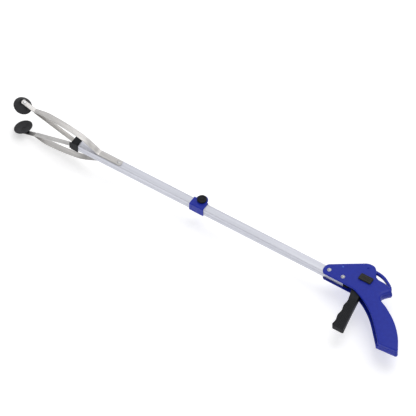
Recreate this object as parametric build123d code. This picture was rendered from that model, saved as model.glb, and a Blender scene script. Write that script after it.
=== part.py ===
from build123d import *
import math
import os

# Folding reacher grabber, in millimetres.  It lies on its side: X runs along the tube from
# the jaws to the handle, Y from the trigger side to the back, Z across the two cheeks.
# Everything is drawn from the fold pivot's station on the tube axis.  At the end all parts
# are shifted together, so that the origin is the centre of the bottom of their common box.

# ---- square tube
TUBE = 14.5                   # outside width
WALL = 1.0
HALF = TUBE / 2
BORE = HALF - WALL            # half of the inside width
REAR_TUBE = (5.6, 291.3)      # from the fold to its end inside the handle
FRONT_TUBE = (-247.0, -4.8)   # from the end cap to the fold
INSERT = 2 * BORE - 0.2       # plastic inserts inside the tube

# ---- fold joint
PIVOT_Y = 8.6                 # the fold axis runs along Z through (0, PIVOT_Y)
COLLAR = (-14.6, 12.7)
COLLAR_HALF = 8.8
COLLAR_GAP = HALF + 0.4       # running room beside the boom that swings
EAR_R = 10.4
SEAT_X = 5.2                  # the collar grips the rear tube from here
PIN_R = 3.0
RUN = 0.06                    # running clearance of a shaft in its bore
KNOB_R = 8.4
KNOB = (9.1, 12.9)            # bottom and top of the knob's disc
STEM_R = 1.6

# ---- jaws: spring strips outside, links inside
STRIP_T = 1.2
STRIP_W = 11.5
TAB_W = 8.8
STRIP_Z = HALF + 0.05 + STRIP_T / 2
STRIP_END = -155.4
STRIP_RIVET = -161.8
STRIP_HEAD_RISE = 1.2
STRIP_CORNER = 3.0              # corner radius of a strip's rear end, in plan
TAB_CORNER = 1.6
TAPER = 26.0                    # length over which a strip narrows to its tab
FLEX_ROOT = (-199.0, STRIP_Z)         # where the strip lifts off the tube
FLEX_ELBOW = (-262.0, 32.3)           # where the arch bends as the jaws close
NECK = (-330.0, 32.6)
TAB_TILT = 19.0
TAB_LENGTH = 27.5
STUD_FROM_NECK = 22.3
FLEX_GAP = 0.8
LINK_T = 1.0
LINK_W = 8.4
LINK_PIVOT = (-246.0, 4.0)
LINK_END = (-328.6, 31.2)
EYE_R = 1.9

# ---- suction cups
CUP_R = 16.5
CUP_DEPTH = 11.8              # rim below the middle of the tab

# ---- handle
CHEEK = 9.5                   # half of the handle's thickness
PLATE = CHEEK - HALF          # thickness of each cheek
SHELL_WALL = 2.2
RIVETS = ((259.8, 0), (286.8, 0))
RIVET_R = 1.95
UPPER_HEAD_RISE = 1.9
LOWER_HEAD_RISE = 1.0
RIVET_SEAT = 1.1                # depth of the seats for the rivet heads in the lower cheek
TRIGGER_PIVOT = (313.3, 36.9)
TRIGGER_PIN_R = 2.0
SCREWS = ((275.7, 17.9), (352.0, 12.0), (400.0, -45.0), (423.0, -73.0))
LOOP_HALF = 3.0               # half thickness of the hanging loop
LEVER_HALF = 5.0
FINGER_HALF = 6.0
FORK_HALF = 2.3
SLIDER = (310.0, 334.0)
SLIDER_Y = (10.0, 22.5)
SLIDER_TRAVEL = 6.0

# ---- pull train
ROD_R = 1.5
CABLE_R = 0.9
CABLE_END = 30.0
FERRULE_R = 2.2


def block(x, y, z):
    """Box between the pairs of limits x, y and z."""
    middle = [(low + high) / 2 for low, high in (x, y, z)]
    size = [high - low for low, high in (x, y, z)]
    return Pos(*middle) * Box(*size)


def both(half):
    """Limits the same distance each side of the axis."""
    return (-half, half)


def bar(start, end, radius):
    """Round bar from one point to another."""
    axis = Vector(*end) - Vector(*start)
    return extrude(Plane(origin=start, z_dir=axis) * Circle(radius), amount=axis.length)


def upright(x, y, z, radius):
    """Round bar along Z."""
    return bar((x, y, z[0]), (x, y, z[1]), radius)


def square_tube(ends):
    """Drawn square tube with rounded corners and a shallow line along its trigger side."""
    section = RectangleRounded(TUBE, TUBE, 1.2) - RectangleRounded(2 * BORE, 2 * BORE, 0.5)
    section -= Pos(-HALF, 0) * Rectangle(0.6, 0.9)
    return extrude(Plane.YZ.offset(ends[0]) * section, amount=ends[1] - ends[0])


def insert(ends, radius):
    """Plastic block inside the tube, bored along the tube."""
    body = block(ends, both(INSERT / 2), both(INSERT / 2))
    body = chamfer(body.edges().filter_by(Axis.X), 0.6)
    return body - bar((ends[0], 0, 0), (ends[1], 0, 0), radius)


def mirrored(body):
    """The copy of a part on the other side of the plane Z = 0."""
    return mirror(body, about=Plane.XY)


def redrawn(face, count=12):
    """The same face, with every curve but lines and arcs redrawn as a plain spline."""
    edges = []
    for edge in face.faces()[0].outer_wire().order_edges():
        if edge.geom_type not in (GeomType.LINE, GeomType.CIRCLE):
            edge = Spline(*[edge @ (step / count) for step in range(count + 1)])
        edges.append(edge)
    return make_face(edges)


# ---------------------------------------------------------------- fold joint

def rear_tube():
    body = square_tube(REAR_TUBE)
    for x, y in RIVETS:
        body -= upright(x, y, both(HALF + 1), RIVET_R + 0.05)
    return body


def front_tube():
    return square_tube(FRONT_TUBE) - upright(STRIP_RIVET, 0, both(HALF + 1), 2.05)


def hinge_socket():
    """Collar fixed to the rear tube: a sleeve behind the pivot, an open channel before it."""
    outer = block(COLLAR, both(COLLAR_HALF), both(COLLAR_HALF))
    outer = fillet(outer.edges().filter_by(Axis.X), 1.4)
    outer += upright(0, PIVOT_Y, both(COLLAR_HALF), EAR_R)
    outer -= block((SEAT_X, 30), both(HALF + 0.05), both(HALF + 0.05))
    outer -= block((-30, SEAT_X), (-COLLAR_GAP, 40), both(COLLAR_GAP))
    outer -= block((0, 30), (COLLAR_HALF, 40), both(COLLAR_GAP))
    return outer - upright(0, PIVOT_Y, both(20), PIN_R)


def hinge_plug():
    return insert((REAR_TUBE[0], 30.0), 3.0)


def hinge_tongue():
    """Insert of the front tube with the knuckle that turns on the fold pin."""
    body = insert((-28.0, FRONT_TUBE[1]), 3.0)
    body += block((-10.0, 2.0), (3.4, INSERT / 2), both(INSERT / 2 - 0.6))
    body += upright(0, PIVOT_Y, both(COLLAR_GAP - 0.35), 4.2)
    return body - upright(0, PIVOT_Y, both(20), PIN_R + RUN)


def fold_pin():
    """Hollow rivet through both ears, with its head under the lower one."""
    body = upright(0, PIVOT_Y, both(COLLAR_HALF), PIN_R)
    body += upright(0, PIVOT_Y, (-COLLAR_HALF - 1.0, -COLLAR_HALF), 5.2)
    return body - upright(0, PIVOT_Y, both(20), STEM_R + RUN)


def lock_knob():
    """Round clamp knob with a dished top and a stem down through the fold pin."""
    disc = upright(0, PIVOT_Y, KNOB, KNOB_R)
    disc = fillet(disc.edges().group_by(Axis.Z)[-1], 1.0)
    disc -= upright(0, PIVOT_Y, (KNOB[1] - 0.5, KNOB[1] + 1), KNOB_R - 2.2)
    for turn in range(24):
        angle = math.radians(15 * turn)
        x = (KNOB_R + 0.35) * math.cos(angle)
        y = PIVOT_Y + (KNOB_R + 0.35) * math.sin(angle)
        disc -= upright(x, y, (KNOB[0] - 1, KNOB[1] - 1.2), 0.7)
    return disc + upright(0, PIVOT_Y, (-13.2, KNOB[0]), STEM_R)


def clamp_nut():
    """Hexagon nut on the knob's stem, under the head of the fold pin."""
    z0 = -COLLAR_HALF - 1.0 - 2.6
    nut = extrude(Pos(0, PIVOT_Y, z0) * RegularPolygon(4.0, 6), amount=2.5)
    return nut - upright(0, PIVOT_Y, (z0 - 1, z0 + 5), STEM_R + RUN)


# ---------------------------------------------------------------- jaws

def strip_profile():
    """Side view of a whole spring strip, flat on the tube, arched, then bent out at the neck."""
    tilt = math.radians(TAB_TILT)
    tab_end = (NECK[0] - TAB_LENGTH * math.cos(tilt), NECK[1] + TAB_LENGTH * math.sin(tilt))
    with BuildLine() as path:
        Line((STRIP_END, STRIP_Z), FLEX_ROOT)
        Spline(FLEX_ROOT, (-211.5, 14.4), (-232.0, 25.2), FLEX_ELBOW, (-288.6, 35.5),
               (-312.0, 35.9), NECK, tangents=((-1, 0.25), (-1, -0.22)))
        Line(NECK, tab_end)
    return redrawn(make_face(offset(path.line, amount=STRIP_T / 2, side=Side.BOTH).edges()))


def strip_plan():
    """Plan of a strip: rounded rear corners, straight body, then a taper to the slimmer tab."""
    wide = STRIP_W / 2
    slim = TAB_W / 2
    rear = STRIP_END - 0.1
    tip = NECK[0] - TAB_LENGTH * math.cos(math.radians(TAB_TILT))
    plan = Polygon((rear, -wide), (rear, wide), (NECK[0] + TAPER, wide), (NECK[0], slim),
                   (tip, slim), (tip, -slim), (NECK[0], -slim), (NECK[0] + TAPER, -wide),
                   align=None)
    plan = fillet(plan.vertices().group_by(Axis.X)[-1], STRIP_CORNER)
    return fillet(plan.vertices().group_by(Axis.X)[0], TAB_CORNER)


def whole_strip():
    body = extrude(Plane.XZ * strip_profile(), amount=STRIP_W, both=True)
    body = body & extrude(strip_plan(), amount=60)
    body -= upright(STRIP_RIVET, 0, (0, 20), 2.05)
    return body - stud_bar((-5, 5), 1.55)


def cup_plane():
    """Plane at the cup's stud, on the middle of the tab, with its Z towards the other jaw."""
    tilt = math.radians(TAB_TILT)
    x = NECK[0] - STUD_FROM_NECK * math.cos(tilt)
    z = NECK[1] + STUD_FROM_NECK * math.sin(tilt)
    inward = (-math.sin(tilt), 0, -math.cos(tilt))
    along = (math.cos(tilt), 0, -math.sin(tilt))
    return Plane(origin=(x, 0, z), x_dir=along, z_dir=inward)


def stud_bar(depth, radius):
    """Round bar along the stud's axis, between two depths below the tab's middle."""
    return extrude(cup_plane().offset(depth[0]) * Circle(radius), amount=depth[1] - depth[0])


def strip_part(limits):
    """The stretch of the strip between two stations, short of each flexing line by half a gap."""
    return whole_strip() & block(limits, both(20), (0, 60))


def strip_root():
    return strip_part((FLEX_ROOT[0] + FLEX_GAP / 2, 0))


def strip_middle():
    return strip_part((FLEX_ELBOW[0] + FLEX_GAP / 2, FLEX_ROOT[0] - FLEX_GAP / 2))


def strip_tip():
    return strip_part((-400, FLEX_ELBOW[0] - FLEX_GAP / 2))


def link():
    """Inner strip with a rolled eye round the crosshead's pin."""
    with BuildLine() as path:
        Line(LINK_PIVOT, LINK_END)
    flat = make_face(offset(path.line, amount=LINK_T / 2, side=Side.BOTH).edges())
    body = extrude(Plane.XZ * flat, amount=LINK_W / 2, both=True)
    eye = (LINK_PIVOT[0], -LINK_W / 2, LINK_PIVOT[1])
    body += bar(eye, (eye[0], LINK_W / 2, eye[2]), EYE_R)
    return body - bar((eye[0], -10, eye[2]), (eye[0], 10, eye[2]), 1.0 + RUN)


def blind_rivet(x, top, shank, head, rise):
    """Hollow rivet through a plate and the tube wall: domed head outside, flare inside."""
    sphere = (head ** 2 + rise ** 2) / (2 * rise)
    dome = Pos(x, 0, top + rise - sphere) * Sphere(sphere)
    dome &= block((x - 9, x + 9), both(9), (top, top + 9))
    body = dome + upright(x, 0, (BORE, top + 0.1), shank)
    body += upright(x, 0, (BORE - 0.8, BORE), shank + 0.6)
    return body - upright(x, 0, (0, top + 9), 0.8)


def strip_rivets():
    """One rivet through the root of each spring strip."""
    upper = blind_rivet(STRIP_RIVET, STRIP_Z + STRIP_T / 2, 2.0, 3.4, STRIP_HEAD_RISE)
    return Compound(children=[upper, mirrored(upper)])


def end_cap():
    """Square band round the mouth of the front tube, with a longer lip on the trigger side."""
    outer = COLLAR_HALF - 0.2
    body = block((-252.2, -239.0), both(outer), both(outer))
    body += block((-255.6, -250.0), (-outer, -HALF - 0.05), both(outer - 1.6))
    body = fillet(body.edges().filter_by(Axis.X).group_by(Axis.Y)[-1], 1.2)
    return body - block((-260, -230), both(HALF + 0.02), both(HALF + 0.02))


def crosshead():
    """Sliding fork in the front tube that carries both link pins."""
    width = BORE - 0.45
    body = block((-238.0, -230.0), both(width), both(width))
    for side in (1, -1):
        y = tuple(sorted((side * 4.6, side * width)))
        body += block((-249.0, -237.0), y, both(width))
    for side in (1, -1):
        body -= link_pin(side, 1.0)
    return body - bar((-239, 0, 0), (-229, 0, 0), ROD_R)


def link_pin(side, radius):
    x, z = LINK_PIVOT
    return bar((x, -BORE + 0.5, side * z), (x, BORE - 0.5, side * z), radius)


def link_pins():
    return Compound(children=[link_pin(1, 1.0), link_pin(-1, 1.0)])


# ---------------------------------------------------------------- suction cups

def suction_cup():
    """Thin rubber dome, hollow towards the other jaw, with a thick crown on the stud."""
    with BuildSketch() as half_section:
        with BuildLine():
            a = Line((0, 2.7), (4.6, 2.7))
            b = Line(a @ 1, (4.9, 4.2))
            c = Spline(b @ 1, (9.5, 6.6), (14.0, 9.3), (CUP_R, CUP_DEPTH - 0.7))
            d = Line(c @ 1, (CUP_R, CUP_DEPTH))
            e = Line(d @ 1, (CUP_R - 0.8, CUP_DEPTH))
            f = Spline(e @ 1, (12.6, 9.6), (7.5, 7.5), (0, 6.8))
            Line(f @ 1, a @ 0)
        make_face()
    plane = cup_plane()
    section = Plane(origin=plane.origin, x_dir=plane.x_dir, z_dir=-plane.y_dir)
    body = revolve(section * half_section.sketch, Axis(plane.origin, plane.z_dir), 360)
    return body - stud_bar((0, 6.0), 1.5)


def cup_seat():
    """Flat seat under the cup, running back along the inside of the tab."""
    plate = SlotCenterPoint((0, 0), (6.5, 0), 6.4) + Circle(4.4)
    seat = extrude(cup_plane().offset(STRIP_T / 2 + 0.02) * plate, amount=2.0)
    return seat - stud_bar((-1, 5), 1.5)


def cup_stud():
    """Rivet from the outside of the tab into the cup's crown."""
    outside = -STRIP_T / 2
    body = stud_bar((outside, 5.5), 1.5)
    head = stud_bar((outside - 1.1, outside), 2.7)
    head = chamfer(head.edges().sort_by(Axis.Z)[-1:], 0.6)
    return body + head


# ---------------------------------------------------------------- handle

def handle_outline():
    """Outline of a cheek: nose round the tube, hump, back, spur and grip."""
    with BuildSketch() as cheek:
        with BuildLine():
            nose = ThreePointArc((254.6, -10.8), (248.9, -1.0), (252.4, 10.5))
            top = Line(nose @ 1, (302.0, 44.4))
            hump = Spline(top @ 1, (310.5, 48.0), (320.5, 47.2), (328.0, 40.0), (332.5, 31.5),
                          (341.0, 27.4), tangents=((1.46, 1), (1, -0.2)))
            back = Spline(hump @ 1, (356.0, 26.9), (366.8, 24.2), (373.8, 17.4),
                          tangents=((1, -0.1), (0.6, -1)))
            under = ThreePointArc(back @ 1, (368.0, 11.3), (364.6, 6.3))
            web = ThreePointArc(under @ 1, (363.6, 0.0), (367.8, -6.0))
            grip_back = Spline(web @ 1, (382.0, -14.4), (409.0, -32.6), (435.5, -61.6),
                               (446.2, -79.4))
            corner = ThreePointArc(grip_back @ 1, (446.5, -82.1), (443.6, -83.3))
            end = Line(corner @ 1, (410.8, -86.2))
            grip_front = Spline(end @ 1, (391.8, -64.3), (363.8, -37.4), (333.2, -19.1),
                                (309.3, -11.2), tangents=((-0.62, 0.78), (-1, 0.05)))
            Line(grip_front @ 1, nose @ 0)
        make_face()
    return cheek.sketch


def hanging_loop():
    """Slim band that arches from the hump over the hanging hole to the spur."""
    with BuildSketch() as band:
        with BuildLine():
            outer = Spline((322.0, 45.5), (330.0, 45.6), (341.0, 43.4), (354.0, 37.0),
                           (365.0, 29.0), (371.8, 18.0))
            tip = Line(outer @ 1, (366.6, 18.0))
            inner = Spline(tip @ 1, (362.0, 25.6), (352.5, 32.6), (341.0, 38.2),
                           (331.5, 40.4), (322.0, 40.0))
            Line(inner @ 1, outer @ 0)
        make_face()
    return band.sketch


def trigger_channel():
    """Region of the trigger side where the edge wall is left out, from the nose to the grip's end."""
    return Polygon((240.0, -7.2), (240.0, -16.0), (309.0, -17.0), (330.0, -24.0), (360.0, -42.0),
                   (388.0, -70.0), (400.5, -83.3), (411.0, -82.0), (393.0, -59.0), (364.5, -32.5),
                   (334.0, -14.5), (309.0, -7.2), align=None)


def upper_shell():
    """Upper half of the handle: cheek, edge wall, screw posts and half of the loop."""
    outline = handle_outline()
    body = extrude(outline, amount=CHEEK)
    body -= extrude(redrawn(offset(outline, amount=-SHELL_WALL)), amount=HALF)
    body += extrude(hanging_loop() - outline, amount=LOOP_HALF)
    body -= extrude(trigger_channel(), amount=HALF)
    for x, y in SCREWS:
        body += upright(x, y, (0, HALF), 3.2)
    body -= block((240, REAR_TUBE[1] + 0.3), both(HALF + 0.03), (-1, HALF + 0.03))
    for x, y in SCREWS:
        body -= upright(x, y, (-1, HALF), 1.1)
    for x, y in RIVETS:
        body -= upright(x, y, (0, CHEEK + 1), RIVET_R + 0.05)
    body += upright(*TRIGGER_PIVOT, (LEVER_HALF + 0.4, HALF), 4.6)
    return body - upright(*TRIGGER_PIVOT, (0, CHEEK - 1.0), TRIGGER_PIN_R)


def handle_shell_upper():
    """Upper shell with the slot for the trigger lock and a dimple over the trigger pin."""
    middle_y = sum(SLIDER_Y) / 2
    slot = block((SLIDER[0] + 5.6, SLIDER[1] - 5.6 + SLIDER_TRAVEL + 0.4),
                 (middle_y - 2.4, middle_y + 2.4), (0, CHEEK + 1))
    dimple = Pos(*TRIGGER_PIVOT, CHEEK + 4.2) * Sphere(4.8)
    return upper_shell() - slot - dimple


def handle_shell_lower():
    """Lower shell, with seats for the screws that hold both shells together and for the rivets."""
    body = mirrored(upper_shell())
    for x, y in RIVETS:
        body -= upright(x, y, (-CHEEK - 1, -CHEEK + RIVET_SEAT), 3.9)
    for x, y in SCREWS:
        body -= upright(x, y, (-CHEEK - 1, 1), 1.5)
        body -= upright(x, y, (-CHEEK - 1, -CHEEK + 1.9), 2.9)
    return body


def shell_screws():
    parts = []
    for x, y in SCREWS:
        head = upright(x, y, (-CHEEK + 0.2, -CHEEK + 1.9), 2.7)
        cross = block((x - 1.7, x + 1.7), (y - 0.4, y + 0.4), (-CHEEK, -CHEEK + 1.0))
        cross += block((x - 0.4, x + 0.4), (y - 1.7, y + 1.7), (-CHEEK, -CHEEK + 1.0))
        parts.append(head - cross + upright(x, y, (-CHEEK + 1.9, HALF - 0.5), 1.05))
    return Compound(children=parts)


def handle_rivets():
    """Domed heads on the upper cheek, and low heads sunk in seats on the lower cheek."""
    parts = []
    for x, _ in RIVETS:
        parts.append(blind_rivet(x, CHEEK, RIVET_R, 3.8, UPPER_HEAD_RISE))
        parts.append(mirrored(blind_rivet(x, CHEEK - RIVET_SEAT, RIVET_R, 3.8, LOWER_HEAD_RISE)))
    return Compound(children=parts)


def trigger_pin():
    return upright(*TRIGGER_PIVOT, both(CHEEK - 1.1), TRIGGER_PIN_R - 0.02)


def trigger_outline():
    """Lever from the pivot down through the handle, then the finger grip with three hollows."""
    top = Vector(316.5, -24.0)
    bottom = Vector(324.0, -92.0)
    down = (bottom - top).normalized()
    front = Vector(down.Y, -down.X)
    wave = [top + down * (bottom - top).length * step / 12
            + front * 0.9 * math.cos(math.radians(90 * step)) for step in range(13)]
    with BuildSketch() as lever:
        with BuildLine():
            a = Spline((307.6, 34.0), (307.4, 8.0), (309.6, -8.0), (wave[0].X, wave[0].Y))
            b = Spline(*[(p.X, p.Y) for p in wave])
            c = Line(b @ 1, (346.0, -92.0))
            d = Spline(c @ 1, (338.6, -58.0), (332.4, -25.0), (327.6, 0.0), (319.2, 34.0))
            Line(d @ 1, a @ 0)
        make_face()
    return lever.sketch


def trigger():
    outline = trigger_outline()
    body = extrude(outline, amount=FINGER_HALF, both=True)
    body = chamfer(body.edges().filter_by(Axis.Z, reverse=True), 0.7)
    body -= block((290, 350), (-14.0, 60), (LEVER_HALF, 20))
    body -= block((290, 350), (-14.0, 60), (-20, -LEVER_HALF))
    body += upright(*TRIGGER_PIVOT, both(LEVER_HALF), 6.4)
    body -= upright(*TRIGGER_PIVOT, both(20), TRIGGER_PIN_R + RUN)
    body -= block((290, 350), (-8.0, 8.5), both(FORK_HALF))
    slot = SlotOverall(7.6, 2 * ROD_R + 0.7, rotation=90)
    return body - extrude(Pos(TRIGGER_PIVOT[0], -0.8) * slot, amount=20, both=True)


def lock_slider():
    """Thumb slide of the trigger lock, with ridges across it and a stem through the cheek."""
    middle_y = sum(SLIDER_Y) / 2
    cap = block(SLIDER, SLIDER_Y, (CHEEK + 0.3, CHEEK + 3.4))
    cap = fillet(cap.edges().filter_by(Axis.Z), 2.2)
    cap = fillet(cap.edges().group_by(Axis.Z)[-1], 0.7)
    for index in range(5):
        x = sum(SLIDER) / 2 + (index - 2) * 3.0
        cap -= block((x - 0.5, x + 0.5), (SLIDER_Y[0] + 2, SLIDER_Y[1] - 2), (CHEEK + 2.8, 20))
    stem = block((SLIDER[0] + 6, SLIDER[1] - 6), (middle_y - 2, middle_y + 2),
                 (HALF - 0.5, CHEEK + 0.5))
    return cap + stem


def slider_foot():
    """Plate on the slider's stem, under the cheek."""
    middle_y = sum(SLIDER_Y) / 2
    return block((SLIDER[0] + 4, SLIDER[1] - 4), (middle_y - 4, middle_y + 4),
                 (LEVER_HALF + 0.4, HALF - 0.5))


# ---------------------------------------------------------------- pull train

def pull_rod_rear():
    body = bar((CABLE_END, 0, 0), (TRIGGER_PIVOT[0] - 8, 0, 0), ROD_R)
    body += bar((CABLE_END - 8, 0, 0), (CABLE_END + 4, 0, 0), FERRULE_R)
    body -= bar((0, 0, 0), (CABLE_END, 0, 0), CABLE_R)
    x = TRIGGER_PIVOT[0]
    body += block((x - 12, x + 1), both(3.4), both(FORK_HALF - 0.4))
    body += upright(x + 1, 0, both(FORK_HALF - 0.4), 3.4)
    return body - upright(x, 0, both(9), ROD_R)


def clevis_pin():
    return upright(TRIGGER_PIVOT[0], 0, both(LEVER_HALF - 0.2), ROD_R)


def pull_rod_front():
    body = bar((-238.0, 0, 0), (-CABLE_END, 0, 0), ROD_R)
    body += bar((-CABLE_END - 4, 0, 0), (-CABLE_END + 8, 0, 0), FERRULE_R)
    return body - bar((-CABLE_END, 0, 0), (0, 0, 0), CABLE_R)


def pull_cable():
    return bar((-CABLE_END, 0, 0), (CABLE_END, 0, 0), CABLE_R - 0.02)


def build_parts():
    """Every node by name, still about the fold pivot's station."""
    nodes = {
        "handle_shell_upper": handle_shell_upper(), "handle_shell_lower": handle_shell_lower(),
        "shell_screws": shell_screws(), "handle_rivets": handle_rivets(),
        "trigger_pin": trigger_pin(), "rear_tube": rear_tube(),
        "hinge_socket": hinge_socket(), "hinge_plug": hinge_plug(),
        "rear_rod_guide": insert((150.0, 160.0), ROD_R + RUN),
        "fold_pin": fold_pin(), "clamp_nut": clamp_nut(), "lock_knob": lock_knob(),
        "trigger": trigger(), "lock_slider": lock_slider(), "slider_foot": slider_foot(),
        "pull_rod_rear": pull_rod_rear(), "clevis_pin": clevis_pin(),
        "pull_cable": pull_cable(), "pull_rod_front": pull_rod_front(),
        "crosshead": crosshead(), "link_pins": link_pins(),
        "front_tube": front_tube(), "hinge_tongue": hinge_tongue(),
        "front_rod_guide": insert((-120.0, -110.0), ROD_R + RUN),
        "end_cap": end_cap(), "strip_rivets": strip_rivets(),
    }
    jaw = {
        "strip_root": strip_root(), "strip_middle": strip_middle(), "strip_tip": strip_tip(),
        "link": link(), "cup_seat": cup_seat(), "cup_stud": cup_stud(),
        "suction_cup": suction_cup(),
    }
    for name, body in jaw.items():
        nodes["upper_" + name] = body
        nodes["lower_" + name] = mirrored(body)
    return nodes


def shift_to_base(nodes):
    """Offset that puts the origin at the centre of the bottom of the parts' common box."""
    boxes = [body.bounding_box() for body in nodes.values()]
    low = [min(getattr(box.min, axis) for box in boxes) for axis in "XYZ"]
    high = [max(getattr(box.max, axis) for box in boxes) for axis in "XYZ"]
    return Pos(-(low[0] + high[0]) / 2, -(low[1] + high[1]) / 2, -low[2])


def main():
    nodes = build_parts()
    shift = shift_to_base(nodes)
    os.makedirs("parts", exist_ok=True)
    for name, body in nodes.items():
        export_step(shift * body, f"parts/{name}.step")
    print("shift", [round(value, 3) for value in shift.position])


if __name__ == "__main__":
    main()
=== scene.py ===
import bisect
import math

import bmesh
import bpy
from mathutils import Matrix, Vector


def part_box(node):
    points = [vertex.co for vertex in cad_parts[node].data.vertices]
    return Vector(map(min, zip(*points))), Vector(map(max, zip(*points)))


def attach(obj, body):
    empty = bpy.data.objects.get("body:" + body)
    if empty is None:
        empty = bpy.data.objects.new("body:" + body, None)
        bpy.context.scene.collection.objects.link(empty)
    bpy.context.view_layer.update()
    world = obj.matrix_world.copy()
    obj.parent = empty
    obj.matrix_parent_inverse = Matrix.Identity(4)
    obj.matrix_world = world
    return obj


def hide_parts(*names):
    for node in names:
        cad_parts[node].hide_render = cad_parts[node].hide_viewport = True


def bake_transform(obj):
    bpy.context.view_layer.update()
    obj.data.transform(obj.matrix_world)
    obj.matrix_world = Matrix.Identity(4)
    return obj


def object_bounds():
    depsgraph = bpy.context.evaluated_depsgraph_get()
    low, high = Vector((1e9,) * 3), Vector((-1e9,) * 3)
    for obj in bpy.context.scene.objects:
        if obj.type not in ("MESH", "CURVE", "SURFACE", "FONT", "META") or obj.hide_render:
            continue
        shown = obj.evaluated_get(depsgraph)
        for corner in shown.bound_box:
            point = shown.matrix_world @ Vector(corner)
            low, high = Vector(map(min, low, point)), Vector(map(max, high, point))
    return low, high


# Folding reacher grabber, lying on its side.  Places are given in millimetres from the fold
# pivot's station on the tube's axis, as (x, y, z): X from the jaws to the handle, Y to the
# back, Z up across the cheeks.  at() turns them into metres in the frame of the CAD model.

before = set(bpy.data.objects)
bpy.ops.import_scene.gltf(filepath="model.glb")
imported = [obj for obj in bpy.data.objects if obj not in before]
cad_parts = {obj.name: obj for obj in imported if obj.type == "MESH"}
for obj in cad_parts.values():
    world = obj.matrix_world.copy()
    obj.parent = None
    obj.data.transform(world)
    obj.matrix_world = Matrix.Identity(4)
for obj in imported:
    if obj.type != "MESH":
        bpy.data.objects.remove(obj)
CAD_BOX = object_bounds()

TUBE_HALF = 7.25
CHEEK = 9.5
STRIP_T = 1.2
STRIP_W = 11.5
TAB_W = 8.8
STRIP_Z = TUBE_HALF + 0.05 + STRIP_T / 2
FLEX_ROOT = (-199.0, STRIP_Z)
FLEX_ELBOW = (-262.0, 32.3)
STRIP_STEP = 0.9
STRIP_EDGE = 0.35
STRIP_CORNER = 3.0
TAB_CORNER = 1.6
TAPER = 26.0
STRIP_SEAM = -231.0             # where the rear and front pieces of a strip meet
NECK = (-330.0, 32.6)
TAB_TILT = math.radians(19.0)
TAB_LENGTH = 27.5
STUD_FROM_NECK = 22.3
PIVOT_Y = 8.6
KNOB_R = 8.4
CABLE_R = 0.9
CABLE_END = 30                  # distance of each end from the fold station
KNOB_FLUTES = 24
KNOB_FLUTE_DEPTH = 0.22
TRIGGER_PIVOT = (313.3, 36.9)
TRIGGER_HALF = 6.0              # half the trigger's width across the cheeks
TRIGGER_LUG_HALF = 4.9          # the same between the shells
SIDE_GROOVE = 0.35              # depth of the trigger's sunk side panels
TRIGGER_RIBS = 4
ROD_SLOT_HALF = 2.3
RIVET_STATIONS = (259.8, 286.8)
RIVET_SEAT = (3.9, 1.1)         # radius and depth
SCREWS = ((275.7, 17.9), (352.0, 12.0), (400.0, -45.0), (423.0, -73.0))
SCREW_SEAT = (2.9, 1.9)
PIVOT_SEAT = (2.4, 0.7)
PAST_SURFACE = 12.0             # height of a cutting tool's end, clear of the cheek
PIP_R = 1.6
SHELL_WALL = 2.2
SADDLE_WALL = 5.5               # further wall behind the rounded spur and web
CAVITY_TOP = 7.0
PAST_PARTING = 1.0
POCKET_TOP = 7.26               # pocket that holds the rear tube
LOWER_FORWARD = 0.8             # see cheek_loop
EDGE_R = 2.0                    # round edge of the cheeks
SADDLE = (366.0, 8.0)           # middle of the spur and web, where the edge is rounder
SADDLE_CORE = 7.0
SADDLE_FADE = 22.0


def middle(node, axis):
    low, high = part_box(node)
    return (low[axis] + high[axis]) / 2


BASE = Vector((middle("fold_pin", 0), middle("rear_tube", 1), middle("rear_tube", 2)))


def at(x, y, z):
    """A place in millimetres from the fold station, in metres in the model's frame."""
    return BASE + Vector((x, y, z)) / 1000


# ------------------------------------------------------------------ materials

def node(tree, kind, **inputs):
    made = tree.nodes.new(kind)
    for name, value in inputs.items():
        made.inputs[name.replace("_", " ")].default_value = value
    return made


def new_material(name, roughness, metallic=0.0, coat=0.0, specular=0.5):
    material = bpy.data.materials.new(name)
    material.use_nodes = True
    tree = material.node_tree
    shader = tree.nodes["Principled BSDF"]
    shader.inputs["Metallic"].default_value = metallic
    shader.inputs["Roughness"].default_value = roughness
    shader.inputs["Specular IOR Level"].default_value = specular
    shader.inputs["Coat Weight"].default_value = coat
    shader.inputs["Coat Roughness"].default_value = 0.25
    return material, tree, shader


def noise(tree, scale, detail, stretch=(1, 1, 1)):
    """Noise in object space, in metres, stretched along an axis by a small factor there."""
    where = tree.nodes.new("ShaderNodeTexCoord")
    mapping = tree.nodes.new("ShaderNodeMapping")
    mapping.inputs["Scale"].default_value = stretch
    made = node(tree, "ShaderNodeTexNoise", Scale=scale, Detail=detail)
    tree.links.new(where.outputs["Object"], mapping.inputs["Vector"])
    tree.links.new(mapping.outputs["Vector"], made.inputs["Vector"])
    return made.outputs["Fac"]


def ramp(tree, value, low, high):
    """Mix of two colours, or of two numbers as greys, by a value."""
    made = tree.nodes.new("ShaderNodeValToRGB")
    for stop, colour in zip(made.color_ramp.elements, (low, high)):
        stop.color = colour if isinstance(colour, tuple) else (colour, colour, colour, 1)
    made.color_ramp.elements[0].position = 0.3
    made.color_ramp.elements[1].position = 0.7
    tree.links.new(value, made.inputs["Fac"])
    return made.outputs["Color"]


def bump(tree, shader, height, strength, distance):
    made = node(tree, "ShaderNodeBump", Strength=strength, Distance=distance)
    tree.links.new(height, made.inputs["Height"])
    tree.links.new(made.outputs["Normal"], shader.inputs["Normal"])


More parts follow.
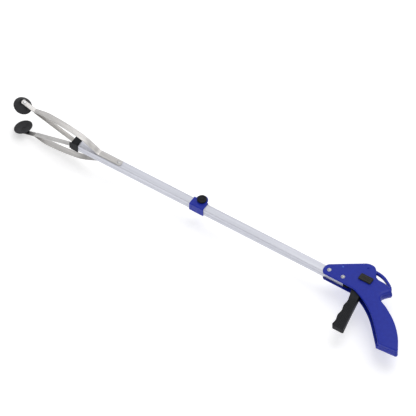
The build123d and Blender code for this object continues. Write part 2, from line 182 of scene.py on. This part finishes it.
def finish(name, dark, light, rough, grain, stretch=(1, 1, 1), bump_by=0.2, depth=0.0001,
           metallic=0.0, coat=0.0, specular=0.5):
    """A material whose colour, roughness and bump vary with a grain of a given size in 1/m."""
    material, tree, shader = new_material(name, rough[0], metallic, coat, specular)
    broad = noise(tree, grain / 12, 3, stretch)
    fine = noise(tree, grain, 5, stretch)
    tree.links.new(ramp(tree, broad, dark + (1,), light + (1,)), shader.inputs["Base Color"])
    tree.links.new(ramp(tree, fine, rough[0], rough[1]), shader.inputs["Roughness"])
    bump(tree, shader, fine, bump_by, depth)
    return material


BLUE = finish("blue_abs", (0.002, 0.014, 0.305), (0.003, 0.019, 0.350), (0.36, 0.46), 2600,
              bump_by=0.10, depth=0.00006, coat=0.05, specular=0.3)
BLACK = finish("black_nylon", (0.006, 0.007, 0.010), (0.011, 0.012, 0.015), (0.46, 0.62), 2200,
               bump_by=0.35, depth=0.00012, specular=0.2)
SLIDE = finish("slide_plastic", (0.016, 0.016, 0.014), (0.024, 0.023, 0.020), (0.5, 0.64), 2000,
               bump_by=0.35, depth=0.00012, specular=0.3)
RUBBER = finish("black_rubber", (0.014, 0.014, 0.017), (0.030, 0.030, 0.034), (0.46, 0.66),
                1500, bump_by=0.30, depth=0.00015, specular=0.4)
TUBE = finish("satin_aluminium", (0.545, 0.555, 0.615), (0.68, 0.69, 0.75), (0.38, 0.52), 1800,
              stretch=(0.03, 1, 1), bump_by=0.15, depth=0.00005, metallic=0.8)
STRIP = finish("spring_steel", (0.45, 0.44, 0.43), (0.57, 0.555, 0.545), (0.34, 0.48), 2200,
               stretch=(0.04, 1, 1), bump_by=0.2, depth=0.00006, metallic=0.85)
# Link steel in two copies: the darker one has painted shade, for the upper link in its strip's
# shadow; the lighter one has painted light, for the lower link's lit upward face.
LINK_PAINTED_SHADE = finish("link_steel_painted_shade", (0.36, 0.35, 0.335), (0.46, 0.445, 0.43), (0.4, 0.55), 2200,
              stretch=(0.04, 1, 1), bump_by=0.2, depth=0.00006, metallic=0.85)
LINK_PAINTED_LIGHT = finish("link_steel_painted_light", (0.56, 0.555, 0.55), (0.68, 0.67, 0.66), (0.4, 0.55),
                     2200, stretch=(0.04, 1, 1), bump_by=0.2, depth=0.00006, metallic=0.8)
RIVET = finish("rivet_metal", (0.52, 0.52, 0.53), (0.64, 0.64, 0.65), (0.34, 0.48), 1800,
               bump_by=0.15, depth=0.00005, metallic=0.9)
STEEL = finish("zinc_steel", (0.45, 0.45, 0.46), (0.6, 0.6, 0.6), (0.3, 0.45), 1600,
               bump_by=0.15, depth=0.00005, metallic=1.0)

NODE_MATERIALS = {
    "handle_shell_upper": BLUE, "handle_shell_lower": BLUE, "hinge_socket": BLUE,
    "rear_tube": TUBE, "front_tube": TUBE, "lock_knob": BLACK, "trigger": BLACK,
    "hinge_plug": BLACK, "hinge_tongue": BLACK, "rear_rod_guide": BLACK,
    "front_rod_guide": BLACK, "end_cap": BLACK, "crosshead": BLACK, "lock_slider": SLIDE,
    "slider_foot": SLIDE, "handle_rivets": RIVET, "strip_rivets": RIVET, "shell_screws": STEEL,
    "trigger_pin": STEEL, "fold_pin": STEEL, "clamp_nut": STEEL, "pull_rod_rear": STEEL,
    "pull_rod_front": STEEL, "clevis_pin": STEEL, "pull_cable": STEEL, "link_pins": STEEL,
}
for jaw in ("upper_", "lower_"):
    for part in ("strip_root", "strip_middle", "strip_tip"):
        NODE_MATERIALS[jaw + part] = STRIP
    # The upper link takes the steel with painted shade, the lower link the steel with painted
    # light.
    NODE_MATERIALS[jaw + "link"] = LINK_PAINTED_SHADE if jaw == "upper_" else LINK_PAINTED_LIGHT
    NODE_MATERIALS[jaw + "cup_seat"] = BLACK
    NODE_MATERIALS[jaw + "cup_stud"] = RIVET
    NODE_MATERIALS[jaw + "suction_cup"] = RUBBER

for name, material in NODE_MATERIALS.items():
    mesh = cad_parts[name].data
    mesh.materials.clear()
    mesh.materials.append(material)


# ------------------------------------------------------------------ mesh helpers

def piece(name, points, faces, material, body):
    """A mesh from points in millimetres, smooth but for sharp edges, riding on a body if given."""
    mesh = bpy.data.meshes.new(name)
    mesh.from_pydata([at(*point) for point in points], [], faces)
    made = bpy.data.objects.new(name, mesh)
    bpy.context.collection.objects.link(made)
    work = bmesh.new()
    work.from_mesh(mesh)
    bmesh.ops.remove_doubles(work, verts=work.verts, dist=1e-6)
    bmesh.ops.recalc_face_normals(work, faces=work.faces)
    work.to_mesh(mesh)
    work.free()
    shade(made, math.radians(35))
    mesh.materials.append(material)
    if body:
        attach(made, body)
    return made


def shade(made, angle):
    made.data.shade_smooth()
    made.data.set_sharp_from_angle(angle=angle)


def curve(points, per_span=10, start=None, end=None):
    """Cubic through the points in 2-D, with chord-length spacing and optional end slopes."""
    points = [Vector(p) for p in points]
    count = len(points)
    slopes = []
    for index in range(count):
        before = points[max(index - 1, 0)]
        after = points[min(index + 1, count - 1)]
        here = points[index]
        if 0 < index < count - 1:
            a, b = (here - before).length, (after - here).length
            slope = ((here - before) / a * b + (after - here) / b * a) / (a + b)
        else:
            slope = (after - before).normalized()
        slopes.append(slope)
    if start is not None:
        slopes[0] = Vector(start).normalized()
    if end is not None:
        slopes[-1] = Vector(end).normalized()
    line = []
    for index in range(count - 1):
        p, q = points[index], points[index + 1]
        length = (q - p).length
        for step in range(per_span):
            t = step / per_span
            h = (2 * t ** 3 - 3 * t ** 2 + 1, t ** 3 - 2 * t ** 2 + t,
                 -2 * t ** 3 + 3 * t ** 2, t ** 3 - t ** 2)
            line.append(p * h[0] + slopes[index] * length * h[1]
                        + q * h[2] + slopes[index + 1] * length * h[3])
    line.append(points[-1])
    return line


def arc(start, via, end, steps=12):
    """Circular arc through three points in 2-D."""
    a, b, c = Vector(start), Vector(via), Vector(end)
    d = 2 * (a.x * (b.y - c.y) + b.x * (c.y - a.y) + c.x * (a.y - b.y))
    sq = [p.length_squared for p in (a, b, c)]
    centre = Vector((
        (sq[0] * (b.y - c.y) + sq[1] * (c.y - a.y) + sq[2] * (a.y - b.y)) / d,
        (sq[0] * (c.x - b.x) + sq[1] * (a.x - c.x) + sq[2] * (b.x - a.x)) / d))
    first, turn_b, turn_c = [math.atan2(p.y - centre.y, p.x - centre.x) for p in (a, b, c)]
    full = 2 * math.pi
    sweep = (turn_c - first) % full
    if (turn_b - first) % full > sweep:
        sweep -= full
    radius = (a - centre).length
    return [centre + radius * Vector((math.cos(first + sweep * s / steps),
                                      math.sin(first + sweep * s / steps)))
            for s in range(steps + 1)]


def straight(start, end, steps=1):
    a, b = Vector(start), Vector(end)
    return [a.lerp(b, s / steps) for s in range(steps + 1)]


def joined(*runs):
    """One closed loop from runs that follow each other, without the doubled points."""
    loop = []
    for run in runs:
        for point in run:
            if not loop or (point - loop[-1]).length > 0.02:
                loop.append(point.copy())
    if (loop[0] - loop[-1]).length < 0.02:
        loop.pop()
    return loop


def signed_area(loop):
    return sum(a.x * b.y - b.x * a.y for a, b in zip(loop, loop[1:] + loop[:1])) / 2


def gap_to(loop, point):
    """Shortest distance from a point to the loop."""
    best = 1e9
    for a, b in zip(loop, loop[1:] + loop[:1]):
        along = b - a
        share = min(max((point - a).dot(along) / along.length_squared, 0), 1)
        best = min(best, (a + along * share - point).length)
    return best


def inset(loop, distance):
    """The loop moved inwards; points that would cross at a corner are merged.

    distance is a number, or a function of a point of the loop.
    """
    turn = 1 if signed_area(loop) > 0 else -1
    reach = [distance(p) if callable(distance) else distance for p in loop]
    moved = []
    for before, here, after, far in zip(loop[-1:] + loop[:-1], loop, loop[1:] + loop[:1], reach):
        a, b = (here - before).normalized(), (after - here).normalized()
        normal_a, normal_b = Vector((-a.y, a.x)) * turn, Vector((-b.y, b.x)) * turn
        mid = (normal_a + normal_b).normalized()
        moved.append(here + mid * far / max(mid.dot(normal_a), 0.45))
    count = len(loop)
    good = [gap_to(loop, p) > far * 0.93 - 0.01 for p, far in zip(moved, reach)]
    merged = list(moved)
    for index in range(count):
        if good[index]:
            continue
        for step in range(1, count):
            ahead, behind = (index + step) % count, (index - step) % count
            if good[ahead] or good[behind]:
                merged[index] = moved[ahead if good[ahead] else behind].copy()
                break
    return merged


def layered(loop, levels):
    """Closed solid of a loop stacked at (inset, z) levels, as points and faces."""
    points, faces = [], []
    count = len(loop)
    for depth, z in levels:
        points += [(p.x, p.y, z) for p in (inset(loop, depth) if depth else loop)]
    for level in range(len(levels) - 1):
        low, high = level * count, (level + 1) * count
        for i in range(count):
            j = (i + 1) % count
            faces.append((low + i, low + j, high + j, high + i))
    faces.append(tuple(range(count))[::-1])
    top = (len(levels) - 1) * count
    faces.append(tuple(range(top, top + count)))
    return points, faces


def rounding(radius, top, steps=6):
    """(inset, z) levels of a quarter-round edge that ends at the height top."""
    return [(radius * (1 - math.cos(a)), top - radius * (1 - math.sin(a)))
            for a in (math.pi / 2 * s / steps for s in range(steps + 1))]


def cut(target, *tools):
    """Subtract each tool from the target, and remove the tools."""
    for tool in tools:
        modifier = target.modifiers.new("cut", "BOOLEAN")
        modifier.operation = "DIFFERENCE"
        modifier.solver = "EXACT"
        modifier.object = tool
        bpy.context.view_layer.update()
        graph = bpy.context.evaluated_depsgraph_get()
        mesh = bpy.data.meshes.new_from_object(target.evaluated_get(graph))
        target.modifiers.clear()
        old = target.data
        target.data = mesh
        bpy.data.meshes.remove(old)
        bpy.data.objects.remove(tool)


def tool(loop, low, high):
    """A plain prism for cutting, between two heights."""
    points, faces = layered(loop, [(0, low), (0, high)])
    mesh = bpy.data.meshes.new("tool")
    mesh.from_pydata([at(*point) for point in points], [], faces)
    made = bpy.data.objects.new("tool", mesh)
    bpy.context.collection.objects.link(made)
    work = bmesh.new()
    work.from_mesh(mesh)
    bmesh.ops.recalc_face_normals(work, faces=work.faces)
    work.to_mesh(mesh)
    work.free()
    return made


def circle(x, y, radius, steps=32):
    return [Vector((x + radius * math.cos(2 * math.pi * s / steps),
                    y + radius * math.sin(2 * math.pi * s / steps))) for s in range(steps)]


# ------------------------------------------------------------------ handle shells

def cheek_loop(forward=0.0):
    """Outline of a cheek; forward moves the grip's front edge out, by 5 mm at its end for 1."""
    nose = arc((254.6, -10.8), (248.9, -1.0), (252.4, 10.5))
    top = straight((252.4, 10.5), (302.0, 44.4), 12)
    hump = curve([(302.0, 44.4), (310.5, 48.0), (320.5, 47.2), (328.0, 40.0), (332.5, 31.5),
                  (341.0, 27.4)], 8, start=(1.46, 1), end=(1, -0.2))
    back = curve([(341.0, 27.4), (356.0, 26.9), (366.8, 24.2), (373.6, 17.4)], 8,
                 start=(1, -0.1), end=(0.6, -1))
    under = arc((373.6, 17.4), (368.0, 11.3), (364.6, 6.3))
    web = arc((364.6, 6.3), (363.6, 0.0), (367.8, -6.0), 10)
    grip_back = curve([(367.8, -6.0), (382.0, -14.4), (409.0, -32.6), (435.5, -61.6),
                       (445.6, -78.2)], 12)
    corner = arc((445.6, -78.2), (445.2, -82.0), (441.6, -83.3), 8)
    end = straight((441.6, -83.3), (410.8 - 5 * forward, -86.0), 10)
    grip_front = curve([(410.8 - 5 * forward, -86.0), (391.8 - 4.5 * forward, -64.3 - forward),
                        (363.8 - 2 * forward, -37.4 - 2 * forward), (333.2, -19.1 - forward),
                        (309.3, -11.2)], 12, start=(-0.62, 0.78), end=(-1, 0.05))
    bottom = straight((309.3, -11.2), (254.6, -10.8), 10)
    return joined(nose, top, hump, back, under, web, grip_back, corner, end, grip_front, bottom)


def saddle(point):
    """1 at the spur and the web of the handle, where the edge is widely rounded, falling to 0."""
    gap = (point - Vector(SADDLE)).length
    share = min(max((gap - SADDLE_CORE) / SADDLE_FADE, 0), 1)
    return 1 - share * share * (3 - 2 * share)


def channel_loop():
    """The open trigger side: no wall from the nose to the grip's end."""
    return joined(
        straight((240.0, -7.6), (240.0, -20.0)), straight((240.0, -20.0), (309.0, -20.0)),
        curve([(309.0, -20.0), (330.0, -29.0), (358.0, -48.0), (384.0, -75.0), (395.0, -83.2)]),
        curve([(409.5, -82.2), (393.4, -60.0), (365.5, -33.0), (334.0, -14.5), (309.0, -7.6)]),
        straight((309.0, -7.6), (240.0, -7.6)))


def shell(side, name, forward):
    """One handle shell: rounded cheek, edge wall with a fine groove, hollow inside."""
    loop = cheek_loop(forward)
    points, faces = layered(loop, [
        (lambda p, d=depth, w=wide: d + w * saddle(p), side * z)
        for depth, wide, z in shell_levels()])
    made = piece(name, points, faces, BLUE, None)
    hollow = sorted((side * CAVITY_TOP, -side * PAST_PARTING))
    cavity = tool(inset(cheek_loop(), lambda p: SHELL_WALL + SADDLE_WALL * saddle(p)), *hollow)
    channel = tool(channel_loop(), *hollow)
    pocket = tool(joined(straight((240, -9.0), (292, -9.0)), straight((292, 7.4), (240, 7.4))),
                  *sorted((side * POCKET_TOP, -side * PAST_PARTING)))
    cut(made, cavity, channel, pocket)
    if side > 0:
        seats = [(*TRIGGER_PIVOT, PIVOT_SEAT)]
    else:
        seats = [(x, 0.0, RIVET_SEAT) for x in RIVET_STATIONS]
        seats += [(x, y, SCREW_SEAT) for x, y in SCREWS]
    for x, y, (radius, depth) in seats:
        ends = sorted((side * (CHEEK - depth), side * PAST_SURFACE))
        cut(made, tool(circle(x, y, radius), *ends))
    finish_cut(made, BLUE, 30)
    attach(made, "handle")
    return made


def finish_cut(made, material, degrees):
    """Shading and material of a piece after its Booleans."""
    shade(made, math.radians(degrees))
    made.data.materials.clear()
    made.data.materials.append(material)


def shell_levels(steps=7):
    """(inset, further inset at the saddle, height) from the parting line to the cheek."""
    levels = [(0.35, 0.0, 0.0), (0.0, 0.0, 0.35), (0.0, 0.3, 2.6), (0.6, 0.5, 2.8),
              (0.6, 0.6, 3.3), (0.0, 0.7, 3.5), (0.0, 1.3, 5.4)]
    for step in range(steps + 1):
        turn = math.pi / 2 * step / steps
        levels.append((EDGE_R * (1 - math.cos(turn)), 1.9 + 4.0 * (1 - math.cos(turn)),
                       CHEEK - EDGE_R * (1 - math.sin(turn))))
    return levels


def hanging_band():
    """Slim arched band over the hanging hole, between the hump and the spur."""
    outer = curve([(320.0, 45.6), (330.0, 45.6), (341.0, 43.4), (354.0, 37.0), (365.0, 29.0),
                   (371.8, 18.0)], 8)
    inner = curve([(366.6, 18.0), (362.0, 25.6), (352.5, 32.6), (341.0, 38.2),
                   (331.5, 40.4), (320.0, 40.0)], 8)
    loop = joined(outer, inner)
    up = [(0.0, 0.0)] + rounding(1.0, 3.0, 4)
    down = [(depth, -z) for depth, z in reversed(up[1:])]
    points, faces = layered(loop, down + up)
    return piece("handle_hang_band", points, faces, BLUE, "handle")


def cheek_pip():
    """Small lighter plug in the upper cheek, over a screw post."""
    pip = finish("blue_pip", (0.03, 0.10, 0.55), (0.035, 0.12, 0.6), (0.3, 0.4), 2600)
    points, faces = layered(circle(*SCREWS[0], PIP_R),
                            [(0, CHEEK - 0.5)] + rounding(0.3, CHEEK + 0.3, 4))
    piece("cheek_pip", points, faces, pip, "handle")


def rod_shroud():
    """Two black cheeks beyond the rear tube's end, with the pull rod between them."""
    outline = joined(straight((291.5, -6.9), (300.4, -6.9)), straight((300.4, -6.9), (300.4, 6.9)),
                     straight((291.5, 6.9), (291.5, -6.9)))
    for name, side in (("rod_shroud_upper", 1), ("rod_shroud_lower", -1)):
        levels = [(0, side * 1.9), (0, side * 6.2), (0.5, side * 6.7)]
        points, faces = layered(outline, levels)
        piece(name, points, faces, BLACK, "handle")


rod_shroud()
upper_shell = shell(1, "upper_handle_cheek", 0.0)
lower_shell = shell(-1, "lower_handle_cheek", LOWER_FORWARD)
hanging_band()
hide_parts("handle_shell_upper")
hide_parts("handle_shell_lower")
cheek_pip()


# ------------------------------------------------------------------ trigger

def finger_side(steps=36):
    """Front of the finger grip: three shallow hollows between low ridges."""
    top, bottom = Vector((316.5, -24.0)), Vector((324.0, -92.0))
    down = (bottom - top).normalized()
    front = Vector((down.y, -down.x))
    reach = (bottom - top).length
    return [top + down * reach * s / steps
            + front * 0.9 * math.cos(2 * math.pi * 3 * s / steps) for s in range(steps + 1)]


def trigger():
    front = curve([(307.6, 30.0), (307.4, 8.0), (309.6, -8.0)], 8) + finger_side()[:-2]
    front += arc((323.1, -89.4), (324.2, -91.4), (326.4, -92.0), 5)
    front += arc((343.0, -92.0), (344.9, -91.3), (345.4, -89.4), 5)
    rear = curve([(345.4, -89.4), (338.6, -58.0), (332.4, -25.0), (327.6, 0.0), (319.2, 30.0)],
                 14)
    loop = joined(front, rear)
    half, groove = TRIGGER_HALF, SIDE_GROOVE
    up = [(0.0, 0.0)] + rounding(1.1, half, 5) + [(2.6, half), (2.9, half - groove)]
    down = [(depth, -z) for depth, z in reversed(up[1:])]
    points, faces = layered(loop, down + up)
    made = piece("trigger_lever_grip", points, faces, BLACK, None)
    pocket = joined(straight((290, -12.0), (345, -12.0)), straight((345, 60), (290, 60)))
    rod_slot = joined(straight((290, -8), (345, -8)), straight((345, 8.5), (290, 8.5)))
    cut(made, tool(pocket, TRIGGER_LUG_HALF, 9), tool(pocket, -9, -TRIGGER_LUG_HALF),
        tool(rod_slot, -ROD_SLOT_HALF, ROD_SLOT_HALF))
    finish_cut(made, BLACK, 32)
    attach(made, "trigger_lever")
    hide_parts("trigger")
    for index, side in ((0, 1), (1, -1)):
        for rib in range(TRIGGER_RIBS):
            trigger_rib(f"trigger_rib_{index}_{rib}", side, rib)


def trigger_rib(name, side, rib):
    """Fine raised line along the side of the finger grip."""
    share = (rib + 1) / (TRIGGER_RIBS + 1)
    start = Vector((318.4, -27.0)).lerp(Vector((330.6, -27.0)), share)
    end = Vector((327.6, -88.5)).lerp(Vector((342.6, -88.5)), share)
    across = Vector((0.42, 0.0))
    loop = [start - across, start + across, end + across, end - across]
    z = TRIGGER_HALF - SIDE_GROOVE
    points, faces = layered(loop, [(0, side * (z - 0.2)), (0, side * z),
                                   (0.15, side * (z + 0.28))])
    piece(name, points, faces, BLACK, "trigger_lever")


trigger()


# ------------------------------------------------------------------ spring strips

def strip_path():
    """Middle line of a whole strip in (x, z), from its rear end to the tab's end."""
    arch = curve([FLEX_ROOT, (-211.5, 14.4), (-232.0, 25.2), FLEX_ELBOW, (-288.6, 35.5),
                  (-312.0, 35.9), NECK], 16, start=(-1, 0.25), end=(-1, -0.22))
    flat = straight((-155.5, STRIP_Z), FLEX_ROOT, 24)
    tip = (NECK[0] - TAB_LENGTH * math.cos(TAB_TILT), NECK[1] + TAB_LENGTH * math.sin(TAB_TILT))
    line = []
    for run in (flat, arch, straight(NECK, tip, 16)):
        line += run if not line else run[1:]
    return line


def strip_half_width(x, first, last):
    """Half width of the strip at x: rounded corners at both ends, a taper, a slimmer tab."""
    slim = min(max((NECK[0] + TAPER - x) / TAPER, 0), 1)
    half = (STRIP_W + (TAB_W - STRIP_W) * slim) / 2
    for gap, corner in ((first - x, STRIP_CORNER), (x - last, TAB_CORNER)):
        if gap < corner:
            half -= corner - math.sqrt(max(corner ** 2 - (corner - gap) ** 2, 0))
    return half


def dense(line, step):
    """The line resampled at an even step, keeping its first and last points."""
    lengths = [0.0]
    for a, b in zip(line, line[1:]):
        lengths.append(lengths[-1] + (b - a).length)
    count = max(int(lengths[-1] / step), 2)
    spaced = []
    for k in range(count + 1):
        want = lengths[-1] * k / count
        i = min(max(bisect.bisect_right(lengths, want) - 1, 0), len(line) - 2)
        share = (want - lengths[i]) / max(lengths[i + 1] - lengths[i], 1e-9)
        spaced.append(line[i].lerp(line[i + 1], min(share, 1)))
    return spaced


def strip_piece(name, line, sign, first, last):
    """Ribbon with softly rounded edges round a stretch of the strip's middle line."""
    edge = STRIP_EDGE
    section = [(-1, -0.5, 0, edge), (-1, -0.5, edge, 0), (1, -0.5, -edge, 0), (1, -0.5, 0, edge),
               (1, 0.5, 0, -edge), (1, 0.5, -edge, 0), (-1, 0.5, edge, 0), (-1, 0.5, 0, -edge)]
    points, faces = [], []
    for index, here in enumerate(line):
        before, after = line[max(index - 1, 0)], line[min(index + 1, len(line) - 1)]
        along = (after - before).normalized()
        normal = Vector((-along.y, along.x))
        half = strip_half_width(here.x, first, last)
        for y_side, z_side, dy, dz in section:
            y = y_side * half + (dy if half > 1 else 0)
            place = here + normal * (z_side * STRIP_T + dz)
            points.append((place.x, y, sign * place.y))
    ring = len(section)
    for index in range(len(line) - 1):
        for k in range(ring):
            m = (k + 1) % ring
            a, b = index * ring, (index + 1) * ring
            faces.append((a + k, a + m, b + m, b + k))
    faces.append(tuple(range(ring))[::-1])
    end = (len(line) - 1) * ring
    faces.append(tuple(range(end, end + ring)))
    return piece(name, points, faces, STRIP, None)


def strips():
    whole = dense(strip_path(), STRIP_STEP)
    first, last = whole[0].x, whole[-1].x
    rear = [p for p in whole if p.x >= STRIP_SEAM]
    front = [rear[-1]] + [p for p in whole if p.x < STRIP_SEAM]
    for jaw, sign in (("upper", 1), ("lower", -1)):
        made = strip_piece(f"{jaw}_strip_rear", rear, sign, first, last)
        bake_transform(made)
        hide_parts(f"{jaw}_strip_root", f"{jaw}_strip_middle")
        made = strip_piece(f"{jaw}_strip_front", front, sign, first, last)
        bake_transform(made)
        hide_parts(f"{jaw}_strip_tip")


strips()


# ------------------------------------------------------------------ suction cups

def cup_axes(sign):
    """Origin, direction along the tab and inward direction of a cup, in millimetres."""
    x = NECK[0] - STUD_FROM_NECK * math.cos(TAB_TILT)
    z = NECK[1] + STUD_FROM_NECK * math.sin(TAB_TILT)
    along = Vector((math.cos(TAB_TILT), 0, -sign * math.sin(TAB_TILT)))
    inward = Vector((-math.sin(TAB_TILT), 0, -sign * math.cos(TAB_TILT)))
    return Vector((x, 0, sign * z)), along, inward


def lathe(name, profile, origin, along, inward, material, body, steps=96):
    """Solid of revolution of a closed (radius, depth) profile about the inward axis."""
    points, faces = [], []
    across = inward.cross(along)
    for step in range(steps):
        turn = 2 * math.pi * step / steps
        radial = along * math.cos(turn) + across * math.sin(turn)
        points += [tuple(origin + radial * max(r, 0.0) + inward * depth) for r, depth in profile]
    count = len(profile)
    for step in range(steps):
        a, b = step * count, ((step + 1) % steps) * count
        for k in range(count - 1):
            faces.append((a + k, a + k + 1, b + k + 1, b + k))
    return piece(name, points, faces, material, body)


def cup_profile():
    """Crown, thin flared skirt with a rolled lip, and the hollow face with two fine steps."""
    skirt = curve([(4.9, 4.3), (9.5, 6.7), (14.0, 9.4), (16.2, 11.0)], 6)
    hollow = curve([(15.6, 11.55), (12.6, 9.5), (7.5, 7.5), (4.2, 7.1)], 6)
    profile = [(0, 2.7), (4.0, 2.7), (4.6, 3.0), (4.7, 3.8)]
    profile += [tuple(p) for p in skirt]
    profile += [(16.45, 11.3), (16.45, 11.65), (16.15, 11.78), (15.85, 11.7)]
    for index, (r, depth) in enumerate(tuple(p) for p in hollow):
        profile.append((r, depth - (0.15 if index % 6 == 3 else 0)))
    return profile + [(3.9, 6.5), (1.5, 6.3), (0, 6.3)]


for jaw, sign in (("upper", 1), ("lower", -1)):
    origin, along, inward = cup_axes(sign)
    cup = lathe(f"{jaw}_cup", cup_profile(), origin, along, inward, RUBBER, f"{jaw}_jaw")
    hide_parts(f"{jaw}_suction_cup")


# ------------------------------------------------------------------ lock knob

def knob():
    """Round clamp knob: scalloped edge, rolled rim and a dished top with a centre boss."""
    loop = []
    steps = KNOB_FLUTES * 8
    for step in range(steps):
        turn = 2 * math.pi * step / steps
        radius = KNOB_R - KNOB_FLUTE_DEPTH * (0.5 - 0.5 * math.cos(KNOB_FLUTES * turn))
        loop.append(Vector((radius * math.cos(turn), PIVOT_Y + radius * math.sin(turn))))
    levels = [(0.5, 9.1), (0.1, 9.4), (0.0, 9.9), (0.0, 11.6)]
    levels += [(0.35, 12.3), (0.9, 12.75), (1.6, 12.9), (2.3, 12.75), (2.9, 12.3), (3.3, 12.1),
               (5.6, 12.0), (6.0, 12.15), (6.3, 12.45), (6.8, 12.5)]
    points, faces = layered(loop, levels)
    made = piece("lock_knob_cap", points, faces, BLACK, "knob")
    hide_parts("lock_knob")


knob()


def thumb_slide():
    """Thumb block of the trigger lock: rounded edges, a shallow dish and three grip ribs."""
    outline = joined(arc((310.0, 12.0), (310.45, 10.45), (312.0, 10.0), 4),
                     arc((332.0, 10.0), (333.55, 10.45), (334.0, 12.0), 4),
                     arc((334.0, 20.5), (333.55, 22.05), (332.0, 22.5), 4),
                     arc((312.0, 22.5), (310.45, 22.05), (310.0, 20.5), 4))
    levels = [(0.0, 9.8), (0.0, 11.9), (0.2, 12.5), (0.6, 12.85), (1.0, 12.9), (1.35, 12.7),
              (1.7, 12.35), (1.9, 12.3)]
    points, faces = layered(outline, levels)
    made = piece("thumb_slide_block", points, faces, SLIDE, "lock_slide")
    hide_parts("lock_slider")
    for index, y in enumerate((14.4, 16.25, 18.1)):
        rib = joined(straight((314.0, y - 0.35), (330.0, y - 0.35)),
                     straight((330.0, y + 0.35), (314.0, y + 0.35)))
        points, faces = layered(rib, [(0, 12.2), (0, 12.55), (0.15, 12.7)])
        piece(f"thumb_slide_rib_{index}", points, faces, SLIDE, "lock_slide")


thumb_slide()


def pull_cable():
    """Flexible link between the two pull rods, a straight tube across the fold joint inside the
    hinge.
    """
    sides = 16
    stations = [step - CABLE_END for step in range(2 * CABLE_END + 1)]
    ring = circle(0.0, 0.0, CABLE_R, sides)
    points = [(x, *p) for x in stations for p in ring]
    faces = [(a * sides + s, a * sides + (s + 1) % sides, (a + 1) * sides + (s + 1) % sides,
              (a + 1) * sides + s) for a in range(len(stations) - 1) for s in range(sides)]
    faces.append(tuple(range(sides)))
    faces.append(tuple(range(len(points) - sides, len(points))))
    made = piece("bent_cable", points, faces, STEEL, None)
    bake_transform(made)
    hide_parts("pull_cable")


pull_cable()


# ------------------------------------------------------------------ stage

FLOOR_REACH = 9.0
FLOOR_GAP = 0.0002
FLOOR_GLOW = 0.42
SURROUND = 0.52


def pale_floor():
    """Level pale floor just under the lowest point of the part."""
    z = CAD_BOX[0][2] - FLOOR_GAP
    corners = [(x * FLOOR_REACH, y * FLOOR_REACH, z)
               for x, y in ((-1, -1), (1, -1), (1, 1), (-1, 1))]
    mesh = bpy.data.meshes.new("floor")
    mesh.from_pydata(corners, [], [(0, 1, 2, 3)])
    floor = bpy.data.objects.new("floor", mesh)
    bpy.context.collection.objects.link(floor)
    white = finish("white_floor", (0.80, 0.80, 0.805), (0.82, 0.82, 0.825), (0.75, 0.85), 60,
                   bump_by=0.02, depth=0.0002, specular=0.1)
    glow = white.node_tree.nodes["Principled BSDF"]
    glow.inputs["Emission Color"].default_value = (1, 1, 1, 1)
    glow.inputs["Emission Strength"].default_value = FLOOR_GLOW
    mesh.materials.append(white)


def area_light(name, place, target, size, power, colour=(1, 1, 1)):
    data = bpy.data.lights.new(name, "AREA")
    data.shape = "DISK"
    data.size = size
    data.energy = power
    data.color = colour
    made = bpy.data.objects.new(name, data)
    bpy.context.collection.objects.link(made)
    made.location = place
    made.rotation_euler = (Vector(target) - Vector(place)).to_track_quat("-Z", "Y").to_euler()


def studio():
    """Soft light overhead, weaker ones at the back and front, and a white surround."""
    area_light("overhead", (0.5, 0.9, 3.0), (0, 0, 0), 2.4, 34)
    area_light("back", (-1.6, 2.2, 1.6), (0, 0, 0), 1.8, 12)
    area_light("front", (0.3, -2.6, 1.5), (0, 0, 0), 1.8, 9)
    world = bpy.data.worlds.new("surround")
    world.use_nodes = True
    world.node_tree.nodes["Background"].inputs["Color"].default_value = (1, 1, 1, 1)
    world.node_tree.nodes["Background"].inputs["Strength"].default_value = SURROUND
    bpy.context.scene.world = world
    bpy.context.scene.view_settings.view_transform = "Standard"


AZIMUTH = math.radians(33)
ELEVATION = math.radians(52)
VIEW_WIDTH = 0.699              # metres across the view at the part
LENS = 1200.0
SENSOR = 36.0
AIM_RIGHT = 0.0148              # metres from the fold station to the view's middle
AIM_DOWN = 0.0024
CLIP_END = 100


def camera():
    """Long lens from the reference view, aimed near the fold joint."""
    sin_a, cos_a = math.sin(AZIMUTH), math.cos(AZIMUTH)
    sin_e, cos_e = math.sin(ELEVATION), math.cos(ELEVATION)
    towards = Vector((sin_a * cos_e, -cos_a * cos_e, sin_e))
    right = Vector((cos_a, sin_a, 0))
    up = Vector((-sin_a * sin_e, cos_a * sin_e, cos_e))
    target = BASE + right * AIM_RIGHT - up * AIM_DOWN
    data = bpy.data.cameras.new("camera")
    data.lens = LENS
    data.sensor_width = SENSOR
    made = bpy.data.objects.new("camera", data)
    bpy.context.collection.objects.link(made)
    distance = VIEW_WIDTH * LENS / SENSOR
    made.location = target + towards * distance
    made.rotation_euler = (-towards).to_track_quat("-Z", "Y").to_euler()
    data.clip_end = CLIP_END
    bpy.context.scene.camera = made


pale_floor()
studio()
camera()
